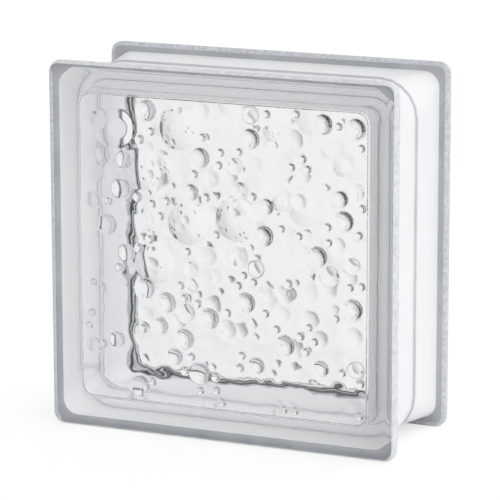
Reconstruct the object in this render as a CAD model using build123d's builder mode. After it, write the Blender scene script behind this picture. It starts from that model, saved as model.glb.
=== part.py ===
from build123d import *
import math
import os

# Overall size of the block, in millimetres. Its width lies along X, its depth
# along Y with the front face towards -Y, and it stands on Z = 0.
BLOCK_WIDTH = 190.0
BLOCK_HEIGHT = 190.0
BLOCK_DEPTH = 80.0
OUTLINE_CORNER = 6.0

# The flange that frames each face, and the mortar key between the two flanges
FLANGE_DEPTH = 7.0
FACE_ROUNDING = 4.5
FLANGE_ROOT = 2.2
KEY_DEPTH = 5.0
KEY_CORNER = 18.0

# The sealed hollow inside. Its walls lean in from the seam so that the plunger
# can leave the glass.
FACE_THICKNESS = 8.0
HOLLOW_WIDTH = 166.0
HOLLOW_CORNER = 10.0
HOLLOW_DRAFT = 4.9
HOLLOW_FOOT_RADIUS = 1.5

# The bead of glass that the two halves squeeze out where they are fused
BEAD_HEIGHT = 1.1
BEAD_HALF_WIDTH = 0.6

# The large bubbles of the relief, which stand up from each inner face as caps of
# a ball. The angle is the one at which a cap meets the face, and the places are
# measured right and up from the middle of the face, seen from outside.
BUBBLE_RADIUS = 5.3
BUBBLE_ANGLE = 34.0
BUBBLE_PLACES = [
    (-42, 72), (16, 62), (-12, 50), (55, 71), (72, 70), (64, 35), (66, 24),
    (23, 13), (52, 5), (71, -20), (-7, -32), (-31, -26), (-21, -44),
    (13, -22), (-8, 0), (10, 1), (-56, 31), (-64, 12), (-46, -71),
]

SHELL_DEPTH = BLOCK_DEPTH / 2
KEY_REACH = SHELL_DEPTH - FLANGE_DEPTH
KEY_WIDTH = BLOCK_WIDTH - 2 * KEY_DEPTH
KEY_HEIGHT = BLOCK_HEIGHT - 2 * KEY_DEPTH
HOLLOW_DEPTH = SHELL_DEPTH - FACE_THICKNESS
BUBBLE_BALL = BUBBLE_RADIUS / math.sin(math.radians(BUBBLE_ANGLE))
BUBBLE_CENTRE_DEPTH = BUBBLE_RADIUS / math.tan(math.radians(BUBBLE_ANGLE))

# A ball's seam runs pole to pole. Laid on its side, both poles stay in the glass.
BALL_ON_ITS_SIDE = (90, 0, 0)

os.makedirs("parts", exist_ok=True)


def seam_plane(side):
    """Plane of the seam at the block's middle, facing the front (-1) or back (1)."""
    return Plane(
        origin=(0, 0, BLOCK_HEIGHT / 2),
        x_dir=(-side, 0, 0),
        z_dir=(0, side, 0),
    )


def press_plunger(seam):
    """Plunger that presses one hollow, with the bubbles sunk into its flat end."""
    outwards = Axis(seam.origin, seam.z_dir)

    with BuildPart() as plunger:
        with BuildSketch(seam):
            RectangleRounded(HOLLOW_WIDTH, HOLLOW_WIDTH, HOLLOW_CORNER)
        extrude(amount=HOLLOW_DEPTH)
        walls = plunger.faces().filter_by(outwards, reverse=True)
        draft(walls, seam, HOLLOW_DRAFT)
        end = plunger.faces().sort_by(outwards)[-1]
        fillet(end.edges(), radius=HOLLOW_FOOT_RADIUS)

        with Locations(seam.offset(HOLLOW_DEPTH + BUBBLE_CENTRE_DEPTH)):
            with Locations(*BUBBLE_PLACES):
                Sphere(BUBBLE_BALL, rotation=BALL_ON_ITS_SIDE, mode=Mode.SUBTRACT)

    return plunger


def press_half(seam, label):
    """Half of the block, an open box as it leaves the press, with its rim on the seam."""
    outwards = Axis(seam.origin, seam.z_dir)
    plunger = press_plunger(seam)

    with BuildPart() as half:
        # Side walls, whose outside is the floor of the mortar key
        with BuildSketch(seam):
            RectangleRounded(KEY_WIDTH, KEY_HEIGHT, KEY_CORNER)
        extrude(amount=KEY_REACH)

        # The flange round the face, with a bevel where it rises from the key
        with BuildSketch(seam.offset(KEY_REACH)):
            RectangleRounded(BLOCK_WIDTH, BLOCK_HEIGHT, OUTLINE_CORNER)
        extrude(amount=FLANGE_DEPTH)
        flange_back = half.faces().filter_by(outwards).sort_by(outwards)[1]
        chamfer(flange_back.inner_wires()[0].edges(), length=FLANGE_ROOT)
        face = half.faces().sort_by(outwards)[-1]
        fillet(face.edges(), radius=FACE_ROUNDING)

        # Half of the bead along the seam
        with BuildSketch(seam):
            RectangleRounded(
                KEY_WIDTH + 2 * BEAD_HEIGHT,
                KEY_HEIGHT + 2 * BEAD_HEIGHT,
                KEY_CORNER + BEAD_HEIGHT,
            )
        extrude(amount=BEAD_HALF_WIDTH)

        # The hollow, with the relief of its inner face
        add(plunger.part, mode=Mode.SUBTRACT)

    half.part.label = label
    return half


front_shell = press_half(seam_plane(-1), "front_shell")
back_shell = press_half(seam_plane(1), "back_shell")

for shell in (front_shell, back_shell):
    export_step(shell.part, f"parts/{shell.part.label}.step")
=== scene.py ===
"""Looks of a square hollow glass block: two pressed halves fused at a seam.

Each half is one closed mesh, worked out with numpy: rounded-square rings carried
through the half's section, and a height field for the bubbles pressed into its
inner face. The sizes are in metres.
"""

import logging
import math
from dataclasses import dataclass, field
from enum import Enum

import bpy
import numpy as np
from mathutils import Matrix, Vector

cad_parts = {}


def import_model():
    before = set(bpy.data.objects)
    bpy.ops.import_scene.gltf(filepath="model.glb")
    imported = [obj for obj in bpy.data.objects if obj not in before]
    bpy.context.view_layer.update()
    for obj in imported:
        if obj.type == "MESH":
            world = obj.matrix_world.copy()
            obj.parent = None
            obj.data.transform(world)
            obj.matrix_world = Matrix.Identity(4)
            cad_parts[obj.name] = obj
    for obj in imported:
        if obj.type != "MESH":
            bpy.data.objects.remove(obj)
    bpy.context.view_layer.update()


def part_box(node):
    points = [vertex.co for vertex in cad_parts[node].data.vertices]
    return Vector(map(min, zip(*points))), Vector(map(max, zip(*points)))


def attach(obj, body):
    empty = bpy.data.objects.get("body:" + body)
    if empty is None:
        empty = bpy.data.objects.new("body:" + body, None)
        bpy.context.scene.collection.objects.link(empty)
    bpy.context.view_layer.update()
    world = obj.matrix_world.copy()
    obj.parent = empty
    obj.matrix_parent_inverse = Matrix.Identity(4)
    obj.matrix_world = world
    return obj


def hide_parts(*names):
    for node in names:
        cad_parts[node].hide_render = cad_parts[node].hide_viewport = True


MM = 0.001
LOG = logging.getLogger("glass_block")
WHITE = (1.0, 1.0, 1.0, 1.0)

# A source is what goes into a node's input: another node's output, a number or a colour.
Colour = tuple[float, float, float, float]
Source = bpy.types.NodeSocket | float | Colour

# Rings over each rounding and each run of the section
FACE_RINGS = 11
EDGE_RINGS = 5
ROOT_RINGS = 7
KEY_RINGS = 6
BEAD_RINGS = 5
WALL_RINGS = 4
FOOT_RINGS = 7

# Grain of the glass's skin and of the coats. A larger scale is finer, and a span holds
# the values of the noise between which the foam, or the fuller shade, comes in.
RIPPLE_SCALE = 55.0
PATCH_SCALE = 70.0
PATCH_SPAN = (0.57, 0.7)
FOAM_SCALE = 420.0
FOAM_DOT = 0.45
CLOUD_SPAN = (0.35, 0.65)


class Side(Enum):
    """The side that a half faces, as the sign of its face's place along Y."""

    FRONT = -1
    BACK = 1


class Zone(Enum):
    """Kinds of surface on a half, in the order of its material slots."""

    CLEAR = 0
    FLANGE_COAT = 1
    WALL_COAT_PAINTED_SHADE = 2
    KEY_COAT = 3
    RELIEF = 4
    SEAM = 5


@dataclass(frozen=True)
class Ring:
    """One rounded square of the half's section, at a distance from the seam."""

    half: float
    corner: float
    reach: float


@dataclass(frozen=True)
class Section:
    """Section of one half, from its bevelled face round to its hollow."""

    half: float
    depth: float
    outline_corner: float = 6.0 * MM
    face_rounding: float = 4.5 * MM
    coating_start: float = math.radians(44)
    flat_strip: float = 0.4 * MM
    flange_depth: float = 7.0 * MM
    flange_rounding: float = 1.0 * MM
    rough_edge: float = 2.0 * MM
    root_rounding: float = 2.2 * MM
    # turn of the root's rounding up to which it keeps the wall's darker coat, partly painted shade
    root_painted_shade_end: float = math.radians(60)
    key_depth: float = 5.0 * MM
    key_corner_at_flange: float = 7.0 * MM
    key_corner_at_seam: float = 19.0 * MM
    bead_height: float = 1.1 * MM
    bead_half_width: float = 0.6 * MM
    bead_rounding: float = 0.25 * MM
    bead_toe: float = 0.1 * MM
    crest_drop: float = 0.15 * MM
    seam_overlap: float = 0.01 * MM
    hollow_at_seam: float = 83.0 * MM
    hollow_at_face: float = 80.25 * MM
    hollow_corner: float = 10.0 * MM
    hollow_lip: float = 0.6 * MM
    hollow_foot: float = 1.5 * MM
    wall_start: float = 4.0 * MM
    face_thickness: float = 8.0 * MM
    relief_fade: float = 1.2 * MM

    @property
    def inner_reach(self) -> float:
        """Distance from the seam to the flat of the inner face."""
        return self.depth - self.face_thickness

    @property
    def foot_half(self) -> float:
        """Half the width of the flat inner face, inside the foot's rounding."""
        return self.hollow_at_face - self.hollow_foot

    @property
    def foot_corner(self) -> float:
        """Corner radius of the flat inner face."""
        lean = self.hollow_at_seam - self.hollow_at_face
        return self.hollow_corner - lean - self.hollow_foot

    def key_corner(self, reach: float) -> float:
        """Corner radius of the key at a distance from the seam, tightest at the flange."""
        share = reach / (self.depth - self.flange_depth)
        return self.key_corner_at_seam + share * (self.key_corner_at_flange - self.key_corner_at_seam)

    def flange_ring(self, inwards: float, reach: float) -> Ring:
        """Ring of the flange, drawn in evenly from its outline."""
        return Ring(self.half - inwards, self.outline_corner - inwards, reach)


def quarter_turn(rings: int) -> np.ndarray:
    """Angles of rings that are spread evenly over a quarter turn, from its start to its end."""
    return np.linspace(0.0, math.pi / 2, rings)


@dataclass(frozen=True)
class Bubbles:
    """Bubbles of one size on the inner face.

    Their radius and places (x, z) are in millimetres. The contact angle, in degrees,
    is the one at which they meet the face, and is negative for dimples.
    """

    radius: float
    contact_angle: float
    places: list[tuple[float, float]]

    @property
    def rim(self) -> float:
        """Radius of a bubble's rim, in metres."""
        return self.radius * MM

    def height(self, u: np.ndarray, v: np.ndarray) -> np.ndarray:
        """Height of the spherical caps over the flat face.

        A cap of rim radius r that meets the face at angle c is part of a ball of
        radius r / sin(c), whose centre lies r / tan(c) below the face.

        Args:
            u: places across the face, in metres.
            v: places up the face, in metres.

        Returns:
            Height above the face, zero outside the caps, negative for dimples.
        """
        angle = math.radians(abs(self.contact_angle))
        ball = self.rim / math.sin(angle)
        sunk = self.rim / math.tan(angle)
        best = np.zeros_like(u)
        for x, z in self.places:
            apart = (u - x * MM) ** 2 + (v - z * MM) ** 2
            cap = np.sqrt(np.maximum(ball**2 - apart, 0.0)) - sunk
            best = np.maximum(best, np.where(apart < self.rim**2, cap, 0.0))
        return math.copysign(1.0, self.contact_angle) * best

    def draw_to_rims(self, u: np.ndarray, v: np.ndarray, reach: float) -> None:
        """Moves the points that lie close to a rim onto it, so that the rim is crisp.

        A point at distance d from a bubble's centre goes to the rim's radius r
        along its own direction where d and r differ by less than the reach.

        Args:
            u: places across the face, changed in place.
            v: places up the face, changed in place.
            reach: how far a point may move, in metres.
        """
        for x, z in self.places:
            across, up = u - x * MM, v - z * MM
            apart = np.hypot(across, up)
            near = np.abs(apart - self.rim) < reach
            u[near] = x * MM + across[near] * self.rim / apart[near]
            v[near] = z * MM + up[near] * self.rim / apart[near]


@dataclass(frozen=True)
class Mottle:
    """Soft rises and hollows all over the inner face, where the glass was chilled unevenly."""

    count: int = 170
    smallest: float = 2.5 * MM
    largest: float = 8.0 * MM
    steepness: float = 0.055
    spread: float = 78.0 * MM
    seed: int = 8

    def height(self, u: np.ndarray, v: np.ndarray) -> np.ndarray:
        """Sum of soft mounds.

        A mound of radius r and height h is h times (1 - (d / r) squared) squared at
        distance d from its centre, and nothing past r. Its height is at most the
        steepness times its radius, upwards or downwards.

        Args:
            u: places across the face, in metres.
            v: places up the face, in metres.

        Returns:
            Height above the face, in metres.
        """
        random = np.random.default_rng(self.seed)
        middles = random.uniform(-self.spread, self.spread, (self.count, 2))
        radii = random.uniform(self.smallest, self.largest, self.count)
        heights = random.uniform(-self.steepness, self.steepness, self.count) * radii
        total = np.zeros_like(u)
        for (x, z), radius, height in zip(middles, radii, heights):
            share = np.maximum(1.0 - ((u - x) ** 2 + (v - z) ** 2) / radius**2, 0.0)
            total += height * share**2
        return total


HARD_LARGE = Bubbles(5.4, 41.0, [
    (-41.5, 72), (15.5, 61.5), (-12, 50), (54.5, 71.5), (72, 70.5), (66, 24), (23, 13), (52, 5),
    (71, -20), (-7, -32), (-31, -26), (-21, -44), (13, -22), (34.5, -42), (-56, 31), (-64, 12),
    (-43, -19.5), (-12.5, -61), (-46, -71),
])
HARD_MEDIUM = Bubbles(4.4, 40.0, [
    (64, 35), (24, 28), (-17, 32), (-34.5, -38.5), (54, -52), (19, -54), (-26.5, -54), (-54, 46),
    (-53, -2), (-72, 24), (-59, -48), (-72, -52),
])
SOFT_LARGE = Bubbles(5.2, 17.0, [
    (9.5, 1), (-8, 0), (59, -4), (3, -36.5), (71.5, -34), (-20, -30.5), (-57, 62), (-68, 66),
])
SOFT_MEDIUM = Bubbles(4.3, 15.0, [
    (-10.5, 74), (16, 73.5), (-5.5, 39.5), (7.5, 47.5), (10, 35.5), (-4.5, 22), (73, 39), (63, 12),
    (71, 2), (19, -4), (24, -16.5), (33.5, -26), (-17, -7.5), (42, 32), (73, -50.5), (-66, 48), (-70, 38),
])
SMALL = Bubbles(2.1, 62.0, [
    (24.5, 74.5), (40.5, 75.5), (63, 71), (75, 61), (44, 53.5), (38, 49), (46.5, 48.5), (-10.5, 60.5),
    (-0.5, 53.5), (9.5, 54.5), (-1.5, 47), (-15, 41.5), (-39, 61.5), (-45, 57), (-8.5, 30), (17, 32.5),
    (75.5, 31), (-30.5, 26.5), (-38.5, 24.5), (-46.5, 27.5), (-34, 18.5), (-3, 11.5), (32.5, 17.5),
    (42, 14.5), (57.5, 20.5), (58, 12.5), (74, 17.5), (12, -8), (17.5, -11), (9, -13.5), (-23, -16.5),
    (-21, -23), (-13.5, -25), (3, -28), (24, -26.5), (36.5, -10), (69.5, -9), (75.5, -8), (62, -25.5),
    (30, -34), (47.5, -31.5), (43, -36.5), (50.5, -38.5), (46, -44), (11, -49.5), (10, -56), (-20.5, -60.5),
    (-17, -53), (-3.5, -62), (-44, -40.5), (-46, 1), (-40, 6), (-19, 1.5), (65.5, -53), (75.5, -57.5),
    (-57, -10), (-63, 24), (-72, -19), (-73, -35), (-75, -42), (-67, -51), (-12, -70), (-3, -69), (0, -75),
    (34, -75), (40, -75), (75, -74), (-39, -68),
])
SHALLOW_DIMPLES = Bubbles(11.0, -17.0, [
    (-23, 64), (-18.5, 16), (-60, 62), (-44, 42), (-37, -6), (8, 20),
])
SMALL_DIMPLES = Bubbles(4.5, -18.0, [
    (27.5, 65.5), (32, 30.5), (65, 51), (-31.5, 45.5), (-28.5, 69), (-43, 41),
])


@dataclass
class Relief:
    """Everything pressed into one inner face."""

    bubbles: tuple[Bubbles, ...] = (HARD_LARGE, HARD_MEDIUM, SOFT_LARGE, SOFT_MEDIUM, SMALL)
    dimples: tuple[Bubbles, ...] = (SHALLOW_DIMPLES, SMALL_DIMPLES)
    mottle: Mottle = field(default_factory=Mottle)

    def height(self, u: np.ndarray, v: np.ndarray) -> np.ndarray:
        """Height of the relief: the highest bubble, on top of the dimples and the mottle.

        Args:
            u: places across the face, in metres.
            v: places up the face, in metres.

        Returns:
            Height towards the seam, in metres.
        """
        raised = np.max([size.height(u, v) for size in self.bubbles], axis=0)
        sunk = np.min([size.height(u, v) for size in self.dimples], axis=0)
        return raised + sunk + self.mottle.height(u, v)

    def draw_to_rims(self, u: np.ndarray, v: np.ndarray, reach: float) -> None:
        """Moves grid points onto the rims of all bubbles, the smallest last."""
        for size in self.bubbles:
            size.draw_to_rims(u, v, reach)


@dataclass
class PressedHalf:
    """One half of the block, as a closed mesh of its own."""

    side: Side
    section: Section
    centre_height: float
    relief: Relief
    cells_per_step: int = 4
    straight_steps: int = 66
    corner_steps: int = 5

    @property
    def name(self) -> str:
        """Name of the piece."""
        return f"{self.side.name.lower()}_pressed_half"

    @property
    def steps(self) -> int:
        """Steps round each ring."""
        return 4 * (self.straight_steps + self.corner_steps)

    def _swept(self, ring: Ring) -> np.ndarray:
        """Points of a rounded square, counter-clockwise from the right side's foot.

        Each side is an even run between its tangent points, and each corner an
        even sweep of a quarter turn round its centre.

        Args:
            ring: the rounded square.

        Returns:
            Array of (u, v, reach) points, one for each step.
        """
        flat = ring.half - ring.corner
        run = np.linspace(-flat, flat, self.straight_steps, endpoint=False)
        turn = np.linspace(0.0, math.pi / 2, self.corner_steps, endpoint=False)
        side = np.stack([np.full_like(run, ring.half), run], axis=1)
        bend = flat + ring.corner * np.stack([np.cos(turn), np.sin(turn)], axis=1)
        quarter = np.concatenate([side, bend])
        parts = []
        for _ in range(4):
            parts.append(quarter)
            quarter = np.stack([-quarter[:, 1], quarter[:, 0]], axis=1)
        return np.column_stack([np.concatenate(parts), np.full(self.steps, ring.reach)])

    def _outside(self) -> list[tuple[Ring, Zone]]:
        """Rings from the edge of the face's flat, round the flange and the key, to the seam.

        Returns:
            Each ring with the zone of the strip that starts at it.
        """
        s = self.section
        # a narrow strip of the flat keeps the face's shading flat up to its edge
        rings = [(s.flange_ring(s.face_rounding + s.flat_strip, s.depth), Zone.CLEAR)]
        for turn in quarter_turn(FACE_RINGS):
            inwards = s.face_rounding * (1 - math.sin(turn))
            reach = s.depth - s.face_rounding * (1 - math.cos(turn))
            zone = Zone.CLEAR if turn < s.coating_start else Zone.FLANGE_COAT
            rings.append((s.flange_ring(inwards, reach), zone))
        wall = s.depth - s.flange_depth
        for turn in quarter_turn(EDGE_RINGS):
            inwards = s.flange_rounding * (1 - math.cos(turn))
            reach = wall + s.flange_rounding * (1 - math.sin(turn))
            rings.append((s.flange_ring(inwards, reach), Zone.FLANGE_COAT))
        # from here over the wall and the start of the root the coat is darker, partly painted shade
        rings.append((s.flange_ring(s.rough_edge, wall), Zone.WALL_COAT_PAINTED_SHADE))

        floor = s.half - s.key_depth
        root_reach = wall - s.root_rounding
        root_corner = s.key_corner(root_reach)
        for turn in quarter_turn(ROOT_RINGS):
            outwards = s.root_rounding * (1 - math.sin(turn))
            reach = wall - s.root_rounding * (1 - math.cos(turn))
            zone = Zone.WALL_COAT_PAINTED_SHADE if turn < s.root_painted_shade_end else Zone.KEY_COAT
            rings.append((Ring(floor + outwards, root_corner + outwards, reach), zone))
        bead_foot = s.bead_half_width + s.bead_rounding
        for reach in np.linspace(root_reach, bead_foot, KEY_RINGS)[1:].tolist():
            rings.append((Ring(floor, s.key_corner(reach), reach), Zone.KEY_COAT))

        # the bead's grey is painted shade standing in for bare glass
        rings.append((Ring(floor + s.bead_toe, s.key_corner_at_seam, s.bead_half_width), Zone.SEAM))
        crest = floor + s.bead_height
        crest_corner = s.key_corner_at_seam + s.bead_height
        for turn in quarter_turn(BEAD_RINGS):
            half = crest - s.bead_rounding * (1 - math.sin(turn))
            reach = s.bead_half_width - s.bead_rounding * (1 - math.cos(turn))
            rings.append((Ring(half, crest_corner, reach), Zone.SEAM))
        rings.append((Ring(crest, crest_corner, 0.5 * s.bead_rounding), Zone.SEAM))
        # the fused faces at the seam are shown as pale as the key, from within the glass
        rings.append((Ring(crest - s.crest_drop, crest_corner, 0.0), Zone.KEY_COAT))
        return rings

    def _inside(self) -> list[tuple[Ring, Zone]]:
        """Rings from the seam's plane up the hollow's wall to the foot of the inner face.

        Returns:
            Each ring with the zone of the strip that starts at it.
        """
        s = self.section
        wall_top = s.inner_reach - s.hollow_foot
        lean = (s.hollow_at_seam - s.hollow_at_face) / s.inner_reach
        lip = Ring(s.hollow_at_seam + s.hollow_lip, s.hollow_corner + s.hollow_lip, -s.seam_overlap)
        rings = [
            # the lip takes the seam's grey, painted shade
            (lip, Zone.SEAM),
            (Ring(s.hollow_at_seam, s.hollow_corner, s.hollow_lip), Zone.CLEAR),
        ]
        for reach in np.linspace(s.wall_start, wall_top, WALL_RINGS).tolist():
            drawn_in = lean * reach
            wall = Ring(s.hollow_at_seam - drawn_in, s.hollow_corner - drawn_in, reach)
            rings.append((wall, Zone.CLEAR))
        for turn in quarter_turn(FOOT_RINGS)[1:]:
            inwards = s.hollow_foot * (1 - math.cos(turn))
            reach = wall_top + s.hollow_foot * math.sin(turn)
            foot = Ring(s.hollow_at_face - inwards, s.foot_corner + s.hollow_foot - inwards, reach)
            rings.append((foot, Zone.CLEAR))
        return rings

    def _inner_face(self) -> tuple[np.ndarray, np.ndarray]:
        """Points of the relief on a square grid whose corners are drawn into arcs.

        The grid is even. In each corner's square patch a point lies a and b from the
        patch's inner corner, where a is the larger. It goes to the distance a, turned
        from the nearer axis by 45 degrees times b / a, so that the patch's outer
        corner becomes a quarter circle. A window that is one in the middle and zero
        at the border takes the relief down to the flat.

        Returns:
            Array of (u, v, reach) points with the shape (n, n, 3), and the order of
            its border points, counter-clockwise from the right side's foot.
        """
        s = self.section
        arc_cells = self.corner_steps * self.cells_per_step // 2
        straight_cells = self.straight_steps * self.cells_per_step
        flat = s.foot_half - s.foot_corner
        patch = np.linspace(0.0, s.foot_corner, arc_cells + 1)
        line = np.concatenate([
            -(flat + patch[::-1]),
            np.linspace(-flat, flat, straight_cells + 1)[1:-1],
            flat + patch,
        ])
        u, v = np.meshgrid(line, line, indexing="ij")
        over_u = np.maximum(np.abs(u) - flat, 0.0)
        over_v = np.maximum(np.abs(v) - flat, 0.0)
        in_patch = (over_u > 0) & (over_v > 0)
        longest = np.maximum(over_u, over_v)
        shortest = np.minimum(over_u, over_v)
        with np.errstate(invalid="ignore", divide="ignore"):
            share = np.where(longest > 0, shortest / longest, 0.0)
        angle = share * math.pi / 4
        along = longest * np.cos(angle)
        aside = longest * np.sin(angle)
        wide = over_u >= over_v
        new_u = np.where(wide, along, aside)
        new_v = np.where(wide, aside, along)
        u = np.where(in_patch, np.sign(u) * (flat + new_u), u)
        v = np.where(in_patch, np.sign(v) * (flat + new_v), v)
        inside = np.maximum(np.abs(u), np.abs(v)) < flat
        drawn_u, drawn_v = u.copy(), v.copy()
        cell = 2 * flat / straight_cells
        self.relief.draw_to_rims(drawn_u, drawn_v, 0.5 * cell)
        u, v = np.where(inside, drawn_u, u), np.where(inside, drawn_v, v)
        edge = np.minimum(s.foot_half - np.abs(u), s.foot_half - np.abs(v))
        window = np.clip(edge / s.relief_fade, 0.0, 1.0)
        window = window * window * (3 - 2 * window)
        reach = s.inner_reach - window * self.relief.height(u, v)
        points = np.stack([u, v, reach], axis=2)
        n = len(line)
        last = n - 1
        index = np.arange(n * n).reshape(n, n)
        right = index[last, arc_cells:last]
        top = index[last:0:-1, last]
        left = index[0, last:0:-1]
        bottom = index[0:last, 0]
        foot = index[last, 0:arc_cells]
        return points, np.concatenate([right, top, left, bottom, foot])

    def build(self) -> bpy.types.Object:
        """Puts the rings and the relief together.

        Returns:
            The mesh object, closed, with its faces outwards.
        """
        strips = self._outside() + self._inside()
        steps = self.steps
        face_points, border = self._inner_face()
        n = face_points.shape[0]
        points = np.concatenate([self._swept(ring) for ring, _ in strips] + [face_points.reshape(-1, 3)])
        last_ring = (len(strips) - 1) * steps
        base = last_ring + steps

        quads = []
        zones = []
        around = np.arange(steps)
        after = (around + 1) % steps
        for k, (_, zone) in enumerate(strips[:-1]):
            here, there = k * steps, (k + 1) * steps
            quads.append(np.column_stack([here + around, there + around, there + after, here + after]))
            zones.append(np.full(steps, zone.value))
        grid = np.arange(n * n).reshape(n, n) + base
        cells = np.stack([grid[:-1, :-1], grid[:-1, 1:], grid[1:, 1:], grid[1:, :-1]], axis=2)
        quads.append(cells.reshape(-1, 4))
        zones.append(np.full(cells.shape[0] * cells.shape[1], Zone.RELIEF.value))
        triangles = self._stitch(last_ring, base + border)
        # the triangles and the flat of the outer face, which is one polygon, are clear
        zones.append(np.full(len(triangles) + 1, Zone.CLEAR.value))
        faces = np.concatenate(quads).tolist() + triangles.tolist() + [around.tolist()]

        world = np.empty_like(points)
        sign = self.side.value
        world[:, 0] = -sign * points[:, 0]
        world[:, 1] = sign * points[:, 2]
        world[:, 2] = self.centre_height + points[:, 1]

        mesh = bpy.data.meshes.new(self.name)
        mesh.from_pydata(world.tolist(), [], faces)
        mesh.polygons.foreach_set("material_index", np.concatenate(zones).astype(np.int32))
        mesh.polygons.foreach_set("use_smooth", np.ones(len(faces), bool))
        mesh.update()
        mesh.validate()
        piece = bpy.data.objects.new(self.name, mesh)
        bpy.context.scene.collection.objects.link(piece)
        return piece

    def _stitch(self, coarse_start: int, fine: np.ndarray) -> np.ndarray:
        """Triangles between the last ring and the relief's border, which has more points.

        Each step of the ring faces several steps of the border: the first half of
        them fan out from the step's start, then one triangle joins its two ends,
        and the rest fan out from its end.

        Args:
            coarse_start: index of the last ring's first point.
            fine: indices of the border's points, in the ring's order.

        Returns:
            Array of triangles.
        """
        per = self.cells_per_step
        middle = per // 2
        step = np.arange(self.steps)
        here = coarse_start + step
        ahead = coarse_start + (step + 1) % self.steps
        parts = []
        for k in range(per):
            first = fine[(step * per + k) % len(fine)]
            second = fine[(step * per + k + 1) % len(fine)]
            hub = here if k < middle else ahead
            parts.append(np.column_stack([hub, first, second]))
        centre = fine[(step * per + middle) % len(fine)]
        parts.append(np.column_stack([here, centre, ahead]))
        return np.concatenate(parts)


def feed(tree: bpy.types.NodeTree, source: Source, socket: bpy.types.NodeSocket) -> None:
    """Links a socket to its source, or sets it where the source is a plain value."""
    if isinstance(source, bpy.types.NodeSocket):
        tree.links.new(source, socket)
    else:
        socket.default_value = source


def arithmetic(
    tree: bpy.types.NodeTree, operation: str, *sources: Source, clamp: bool = False
) -> bpy.types.NodeSocket:
    """Adds a Math node.

    Args:
        tree: the node tree to add it to.
        operation: the node's operation.
        sources: what goes into each of its inputs.
        clamp: whether the result is kept between zero and one.

    Returns:
        The node's output.
    """
    node = tree.nodes.new("ShaderNodeMath")
    node.operation = operation
    node.use_clamp = clamp
    for source, socket in zip(sources, node.inputs):
        feed(tree, source, socket)
    return node.outputs[0]


def ramp(
    tree: bpy.types.NodeTree,
    value: Source,
    span: tuple[float, float],
    result: tuple[float, float] = (0.0, 1.0),
    kind: str = "SMOOTHSTEP",
) -> bpy.types.NodeSocket:
    """Adds a Map Range node, which holds its ends outside the span.

    Args:
        tree: the node tree to add it to.
        value: what goes into it.
        span: the values at which the ramp starts and ends.
        result: what it gives at its start and its end.
        kind: the curve between them.

    Returns:
        The node's output.
    """
    node = tree.nodes.new("ShaderNodeMapRange")
    node.interpolation_type = kind
    feed(tree, value, node.inputs["Value"])
    for name, bound in zip(("From Min", "From Max", "To Min", "To Max"), (*span, *result)):
        node.inputs[name].default_value = bound
    return node.outputs["Result"]


def blend(
    tree: bpy.types.NodeTree, factor: Source, first: Source, second: Source, kind: str = "FLOAT"
) -> bpy.types.NodeSocket:
    """Adds a Mix node.

    Args:
        tree: the node tree to add it to.
        factor: the share of the second source.
        first: what it gives at a factor of zero.
        second: what it gives at a factor of one.
        kind: the type of what is mixed.

    Returns:
        The node's output.
    """
    node = tree.nodes.new("ShaderNodeMix")
    node.data_type = kind
    for name, source in (("Factor", factor), ("A", first), ("B", second)):
        feed(tree, source, node.inputs[name])
    return node.outputs["Result"]


def see_through_where(
    tree: bpy.types.NodeTree, share: Source, shader: bpy.types.Node, passes: float = 1.0
) -> None:
    """Makes the surface see-through by a share, and ends the material.

    Args:
        tree: the material's node tree.
        share: how much of the surface is see-through.
        shader: the shader of the rest.
        passes: how much light the see-through part lets pass.
    """
    clear = tree.nodes.new("ShaderNodeBsdfTransparent")
    clear.inputs["Color"].default_value = (passes, passes, passes, 1.0)
    mix = tree.nodes.new("ShaderNodeMixShader")
    feed(tree, share, mix.inputs["Fac"])
    tree.links.new(shader.outputs["BSDF"], mix.inputs[1])
    tree.links.new(clear.outputs["BSDF"], mix.inputs[2])
    tree.links.new(mix.outputs["Shader"], tree.nodes["Material Output"].inputs["Surface"])


def pressed_skin() -> bpy.types.NodeTree:
    """Height of the fine relief of pressed glass: a long ripple, and foam in patches.

    The ripple is smooth noise. A dot of foam falls smoothly from one, at a point of
    a scattered pattern, to nothing at the dot's radius, which is a share of the
    pattern's cell. The foam is the dots times a share that rises with a second noise.

    Returns:
        A node group from the amounts of ripple and foam to a height.
    """
    tree = bpy.data.node_groups.new("pressed_skin", "ShaderNodeTree")
    for name in ("Ripple", "Foam"):
        tree.interface.new_socket(name, in_out="INPUT", socket_type="NodeSocketFloat")
    tree.interface.new_socket("Height", in_out="OUTPUT", socket_type="NodeSocketFloat")
    start, end = tree.nodes.new("NodeGroupInput"), tree.nodes.new("NodeGroupOutput")
    coords = tree.nodes.new("ShaderNodeTexCoord")
    ripple = tree.nodes.new("ShaderNodeTexNoise")
    ripple.inputs["Scale"].default_value = RIPPLE_SCALE
    ripple.inputs["Detail"].default_value = 2.0
    patches = tree.nodes.new("ShaderNodeTexNoise")
    patches.inputs["Scale"].default_value = PATCH_SCALE
    patches.inputs["Detail"].default_value = 1.0
    dots = tree.nodes.new("ShaderNodeTexVoronoi")
    dots.feature = "F1"
    dots.inputs["Scale"].default_value = FOAM_SCALE
    for texture in (ripple, patches, dots):
        tree.links.new(coords.outputs["Object"], texture.inputs["Vector"])
    where = ramp(tree, patches.outputs["Fac"], PATCH_SPAN)
    dot = ramp(tree, dots.outputs["Distance"], (0.0, FOAM_DOT), (1.0, 0.0))
    foam = arithmetic(tree, "MULTIPLY", where, dot)
    foam_part = arithmetic(tree, "MULTIPLY", foam, start.outputs["Foam"])
    total = arithmetic(tree, "MULTIPLY_ADD", ripple.outputs["Fac"], start.outputs["Ripple"], foam_part)
    tree.links.new(total, end.inputs["Height"])
    return tree


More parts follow.
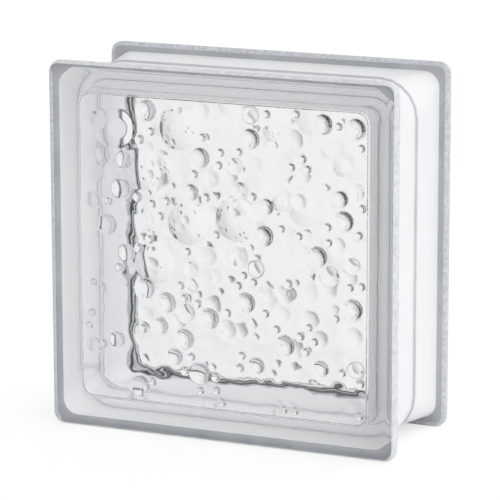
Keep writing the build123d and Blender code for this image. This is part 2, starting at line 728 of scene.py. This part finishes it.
@dataclass(frozen=True)
class ClearGlass:
    """Pressed soda-lime glass, clear, with the press's fine ripple on its skin."""

    name: str
    tint: Colour = (0.985, 0.992, 0.996, 1.0)
    index: float = 1.5
    passes: float = 0.96
    ripple: float = 0.5
    foam: float = 0.0

    def material(self, skin: bpy.types.NodeTree) -> bpy.types.Material:
        """Builds the material.

        Light on its way to a matt surface goes straight through, so that the coats
        behind the glass are lit. Real glass would bend and mirror some of it, which
        the share that passes stands for.

        Args:
            skin: the node group that gives the skin's height, in millimetres.

        Returns:
            The material.
        """
        mat = bpy.data.materials.new(self.name)
        mat.use_nodes = True
        tree = mat.node_tree
        shader = tree.nodes["Principled BSDF"]
        shader.inputs["Base Color"].default_value = self.tint
        shader.inputs["Roughness"].default_value = 0.0
        shader.inputs["IOR"].default_value = self.index
        shader.inputs["Transmission Weight"].default_value = 1.0
        height = tree.nodes.new("ShaderNodeGroup")
        height.node_tree = skin
        height.inputs["Ripple"].default_value = self.ripple
        height.inputs["Foam"].default_value = self.foam
        bump = tree.nodes.new("ShaderNodeBump")
        bump.inputs["Distance"].default_value = MM
        tree.links.new(height.outputs["Height"], bump.inputs["Height"])
        tree.links.new(bump.outputs["Normal"], shader.inputs["Normal"])
        path = tree.nodes.new("ShaderNodeLightPath")
        straight = arithmetic(
            tree, "MAXIMUM", path.outputs["Is Shadow Ray"], path.outputs["Is Diffuse Ray"]
        )
        see_through_where(tree, straight, shader, self.passes)
        return mat


def coat_grain() -> bpy.types.NodeTree:
    """Cloudy shade and sandy height of a baked coat.

    The shade is mixed with a darker one by cloudy noise, and the height is fine
    noise.

    Returns:
        A node group from two shades and two sizes of grain to a colour and a height.
    """
    tree = bpy.data.node_groups.new("coat_grain", "ShaderNodeTree")
    for name in ("Shade", "Thin Shade"):
        tree.interface.new_socket(name, in_out="INPUT", socket_type="NodeSocketColor")
    for name in ("Cloud Scale", "Grain Scale"):
        tree.interface.new_socket(name, in_out="INPUT", socket_type="NodeSocketFloat")
    tree.interface.new_socket("Colour", in_out="OUTPUT", socket_type="NodeSocketColor")
    tree.interface.new_socket("Height", in_out="OUTPUT", socket_type="NodeSocketFloat")
    start, end = tree.nodes.new("NodeGroupInput"), tree.nodes.new("NodeGroupOutput")
    coords = tree.nodes.new("ShaderNodeTexCoord")
    cloud, grain = tree.nodes.new("ShaderNodeTexNoise"), tree.nodes.new("ShaderNodeTexNoise")
    cloud.inputs["Detail"].default_value = 4.0
    for texture, size in ((cloud, "Cloud Scale"), (grain, "Grain Scale")):
        tree.links.new(coords.outputs["Object"], texture.inputs["Vector"])
        tree.links.new(start.outputs[size], texture.inputs["Scale"])
    share = ramp(tree, cloud.outputs["Fac"], CLOUD_SPAN, kind="LINEAR")
    shade = blend(tree, share, start.outputs["Thin Shade"], start.outputs["Shade"], kind="RGBA")
    tree.links.new(shade, end.inputs["Colour"])
    tree.links.new(grain.outputs["Fac"], end.inputs["Height"])
    return tree


@dataclass(frozen=True)
class Coat:
    """Opaque finish of the edges, the mortar key and the seam. The darker ones on the back flange and the
    seam are painted shade, and the one on the flange's wall is partly painted shade.
    """

    name: str
    shade: Colour
    thin_shade: Colour
    cloud_scale: float = 60.0
    grain_scale: float = 900.0
    grain_height: float = 0.3 * MM
    roughness: float = 0.6
    sheen: float = 0.3
    relief: float = 0.3

    def material(self, grain: bpy.types.NodeTree) -> bpy.types.Material:
        """Builds the material.

        Args:
            grain: the node group of the coat's shade and height.

        Returns:
            The material.
        """
        mat = bpy.data.materials.new(self.name)
        mat.use_nodes = True
        tree = mat.node_tree
        shader = tree.nodes["Principled BSDF"]
        shader.inputs["Roughness"].default_value = self.roughness
        shader.inputs["Specular IOR Level"].default_value = self.sheen
        skin = tree.nodes.new("ShaderNodeGroup")
        skin.node_tree = grain
        skin.inputs["Shade"].default_value = self.shade
        skin.inputs["Thin Shade"].default_value = self.thin_shade
        skin.inputs["Cloud Scale"].default_value = self.cloud_scale
        skin.inputs["Grain Scale"].default_value = self.grain_scale
        bump = tree.nodes.new("ShaderNodeBump")
        bump.inputs["Strength"].default_value = self.relief
        bump.inputs["Distance"].default_value = self.grain_height
        tree.links.new(skin.outputs["Height"], bump.inputs["Height"])
        tree.links.new(skin.outputs["Colour"], shader.inputs["Base Color"])
        tree.links.new(bump.outputs["Normal"], shader.inputs["Normal"])
        return mat


def finishes() -> dict[Side, dict[Zone, bpy.types.Material]]:
    """Materials of the zones of both halves, which differ in the flange's coat: the back half's darker one
    is painted shade.

    Returns:
        For each side, the material of each zone.
    """
    skin, grain = pressed_skin(), coat_grain()
    clear = ClearGlass("clear_pressed_glass", ripple=0.1)
    relief = ClearGlass("clear_relief_glass", foam=0.02)
    flange = Coat(
        "white_flange_coat", (0.88, 0.9, 0.92, 1.0), (0.72, 0.75, 0.78, 1.0),
        cloud_scale=420.0, relief=0.5,
    )
    # the flange's wall and the root of the key are dark grey: partly a greyer finish, partly painted shade
    # of the channel's corner
    wall = Coat("wall_coat_painted_shade", (0.52, 0.54, 0.57, 1.0), (0.44, 0.46, 0.49, 1.0))
    key = Coat("white_key_coat", (0.965, 0.97, 0.98, 1.0), (0.94, 0.95, 0.965, 1.0))
    # the seam's bead and the hollow's lip are grey: painted shade standing in for bare glass
    seam = Coat("seam_painted_shade", (0.7, 0.72, 0.75, 1.0), (0.62, 0.64, 0.67, 1.0))
    # the back half's flange coat is a darker copy of the front's: painted shade
    back_flange_shaded = Coat(
        "back_flange_painted_shade", (0.76, 0.78, 0.81, 1.0), (0.58, 0.61, 0.64, 1.0),
        cloud_scale=520.0, relief=0.5,
    )
    front = {
        Zone.CLEAR: clear.material(skin),
        Zone.FLANGE_COAT: flange.material(grain),
        Zone.WALL_COAT_PAINTED_SHADE: wall.material(grain),
        Zone.KEY_COAT: key.material(grain),
        Zone.RELIEF: relief.material(skin),
        Zone.SEAM: seam.material(grain),
    }
    back = {**front, Zone.FLANGE_COAT: back_flange_shaded.material(grain)}
    return {Side.FRONT: front, Side.BACK: back}


@dataclass(frozen=True)
class RayPaths:
    """Sockets that tell how a ray has come, in one material or world."""

    camera: bpy.types.NodeSocket
    bent: bpy.types.NodeSocket
    bent_late: bpy.types.NodeSocket


def ray_paths(tree: bpy.types.NodeTree) -> RayPaths:
    """Adds the Light Path node, with factors for rays that were bent or mirrored.

    Args:
        tree: the node tree to add them to.

    Returns:
        One for rays straight from the camera; one for rays bent or mirrored on
        their way from it, before they meet a matt surface; and one for rays bent
        or mirrored after it, whose light the see-through shadows already count.
    """
    path = tree.nodes.new("ShaderNodeLightPath")
    turned = arithmetic(
        tree, "MAXIMUM", path.outputs["Is Transmission Ray"], path.outputs["Is Glossy Ray"]
    )
    matt = arithmetic(tree, "GREATER_THAN", path.outputs["Diffuse Depth"], 0.5)
    bent = arithmetic(tree, "SUBTRACT", turned, matt, clamp=True)
    bent_late = arithmetic(tree, "MULTIPLY", turned, matt)
    return RayPaths(path.outputs["Is Camera Ray"], bent, bent_late)


@dataclass
class Studio:
    """Camera, pale floor and soft surroundings."""

    centre: Vector
    azimuth: float = 24.218
    elevation: float = 12.348
    roll: float = -0.119
    distance: float = 1557.2 * MM
    lens: float = 219.2
    film_width: float = 36.0
    view_end: float = 100.0
    drop: float = 2.9 * MM
    level: float = 0.46
    squares: tuple[float, float, float] = (0.06, 0.72, 0.05)
    slope: tuple[float, float, float] = (0.5, 0.2, 0.3)
    card_span: tuple[float, float] = (0.5, 0.94)
    card_levels: tuple[float, float] = (0.0, 0.91)
    floor_half: float = 6.0
    floor_roughness: float = 0.9
    floor_shade: Colour = (0.96, 0.96, 0.96, 1.0)
    floor_shade_to_camera: Colour = (0.48, 0.48, 0.48, 1.0)
    floor_glow_to_camera: float = 0.62

    def camera(self) -> None:
        """Places the camera at the photograph's angle."""
        data = bpy.data.cameras.new("camera")
        data.lens = self.lens
        data.sensor_width = self.film_width
        data.clip_end = self.view_end
        camera = bpy.data.objects.new("camera", data)
        bpy.context.scene.collection.objects.link(camera)
        turn = math.radians(self.azimuth)
        lift = math.radians(self.elevation)
        back = Vector((
            math.sin(turn) * math.cos(lift),
            -math.cos(turn) * math.cos(lift),
            math.sin(lift),
        ))
        right = Vector((math.cos(turn), math.sin(turn), 0.0))
        up = back.cross(right)
        aim = self.centre - Vector((0.0, 0.0, self.drop))
        axes = Matrix((right, up, back)).transposed().to_4x4()
        spin = Matrix.Rotation(math.radians(self.roll), 4, "Z")
        camera.matrix_world = Matrix.Translation(aim + back * self.distance) @ axes @ spin
        bpy.context.scene.camera = camera

    def backdrop_level(self) -> bpy.types.NodeTree:
        """Brightness of the soft backdrop in one direction.

        It is brightest along Y, where the backdrop stands, and falls smoothly to
        the sides, with the direction's share along Y.

        Returns:
            A node group from a direction to a level.
        """
        tree = bpy.data.node_groups.new("backdrop_level", "ShaderNodeTree")
        tree.interface.new_socket("Direction", in_out="INPUT", socket_type="NodeSocketVector")
        tree.interface.new_socket("Level", in_out="OUTPUT", socket_type="NodeSocketFloat")
        start, end = tree.nodes.new("NodeGroupInput"), tree.nodes.new("NodeGroupOutput")
        unit = tree.nodes.new("ShaderNodeVectorMath")
        unit.operation = "NORMALIZE"
        tree.links.new(start.outputs["Direction"], unit.inputs[0])
        parts = tree.nodes.new("ShaderNodeSeparateXYZ")
        tree.links.new(unit.outputs["Vector"], parts.inputs[0])
        share = arithmetic(tree, "ABSOLUTE", parts.outputs["Y"])
        tree.links.new(ramp(tree, share, self.card_span, self.card_levels), end.inputs["Level"])
        return tree

    def world(self, card: bpy.types.NodeTree) -> None:
        """Soft surroundings, white to the camera.

        The level rises with the squares of a direction's shares, for softboxes at
        both ends of an axis, and with the shares themselves, for one end of it.
        Rays bent on their way from the camera see the backdrop instead, and those
        bent after a matt surface see black.

        Args:
            card: the node group of the backdrop's level.
        """
        world = bpy.data.worlds.new("studio")
        bpy.context.scene.world = world
        world.use_nodes = True
        tree = world.node_tree
        nodes, links = tree.nodes, tree.links
        background = nodes["Background"]
        direction = nodes.new("ShaderNodeTexCoord").outputs["Generated"]
        squared = nodes.new("ShaderNodeVectorMath")
        squared.operation = "MULTIPLY"
        links.new(direction, squared.inputs[0])
        links.new(direction, squared.inputs[1])
        both_ends = nodes.new("ShaderNodeVectorMath")
        both_ends.operation = "DOT_PRODUCT"
        both_ends.inputs[1].default_value = self.squares
        links.new(squared.outputs["Vector"], both_ends.inputs[0])
        one_end = nodes.new("ShaderNodeVectorMath")
        one_end.operation = "DOT_PRODUCT"
        one_end.inputs[1].default_value = self.slope
        links.new(direction, one_end.inputs[0])
        sides = arithmetic(tree, "ADD", both_ends.outputs["Value"], self.level)
        level = arithmetic(tree, "ADD", one_end.outputs["Value"], sides)
        backdrop = nodes.new("ShaderNodeGroup")
        backdrop.node_tree = card
        links.new(direction, backdrop.inputs["Direction"])
        paths = ray_paths(tree)
        shown = blend(tree, paths.bent, level, backdrop.outputs["Level"])
        lit = blend(tree, paths.bent_late, shown, 0.0)
        seen = arithmetic(tree, "MAXIMUM", paths.camera, lit)
        links.new(seen, background.inputs["Strength"])
        background.inputs["Color"].default_value = WHITE

    def floor(self) -> None:
        """A wide pale floor, white to the camera and see-through to rays bent on their way from it."""
        reach = self.floor_half
        mesh = bpy.data.meshes.new("floor")
        corners = [(-reach, -reach, 0.0), (reach, -reach, 0.0), (reach, reach, 0.0), (-reach, reach, 0.0)]
        mesh.from_pydata(corners, [], [(0, 1, 2, 3)])
        floor = bpy.data.objects.new("floor", mesh)
        bpy.context.scene.collection.objects.link(floor)
        mat = bpy.data.materials.new("floor")
        mat.use_nodes = True
        tree = mat.node_tree
        shader = tree.nodes["Principled BSDF"]
        shader.inputs["Roughness"].default_value = self.floor_roughness
        shader.inputs["Specular IOR Level"].default_value = 0.0
        shader.inputs["Emission Color"].default_value = WHITE
        paths = ray_paths(tree)
        glow = arithmetic(tree, "MULTIPLY", paths.camera, self.floor_glow_to_camera)
        tree.links.new(glow, shader.inputs["Emission Strength"])
        shade = blend(tree, paths.camera, self.floor_shade, self.floor_shade_to_camera, kind="RGBA")
        tree.links.new(shade, shader.inputs["Base Color"])
        see_through_where(tree, paths.bent, shader)
        mesh.materials.append(mat)


def main() -> None:
    """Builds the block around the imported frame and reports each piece."""
    logging.basicConfig(level=logging.INFO, format="%(name)s: %(message)s")
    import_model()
    low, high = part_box("front_shell")
    centre = Vector((0.0, 0.0, (low.z + high.z) / 2))
    section = Section(half=(high.x - low.x) / 2, depth=high.y - low.y)
    materials = finishes()
    for side, node in ((Side.FRONT, "front_shell"), (Side.BACK, "back_shell")):
        piece = PressedHalf(side, section, centre.z, Relief()).build()
        for zone in Zone:
            piece.data.materials.append(materials[side][zone])
        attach(piece, "root")
        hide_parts(node)
        f"pressed_glass_{side.name.lower()}"
        LOG.info("%s: %d faces", piece.name, len(piece.data.polygons))
    studio = Studio(centre)
    studio.camera()
    studio.world(studio.backdrop_level())
    studio.floor()
    bpy.context.scene.view_settings.view_transform = "Standard"


if __name__ == "__main__":
    main()
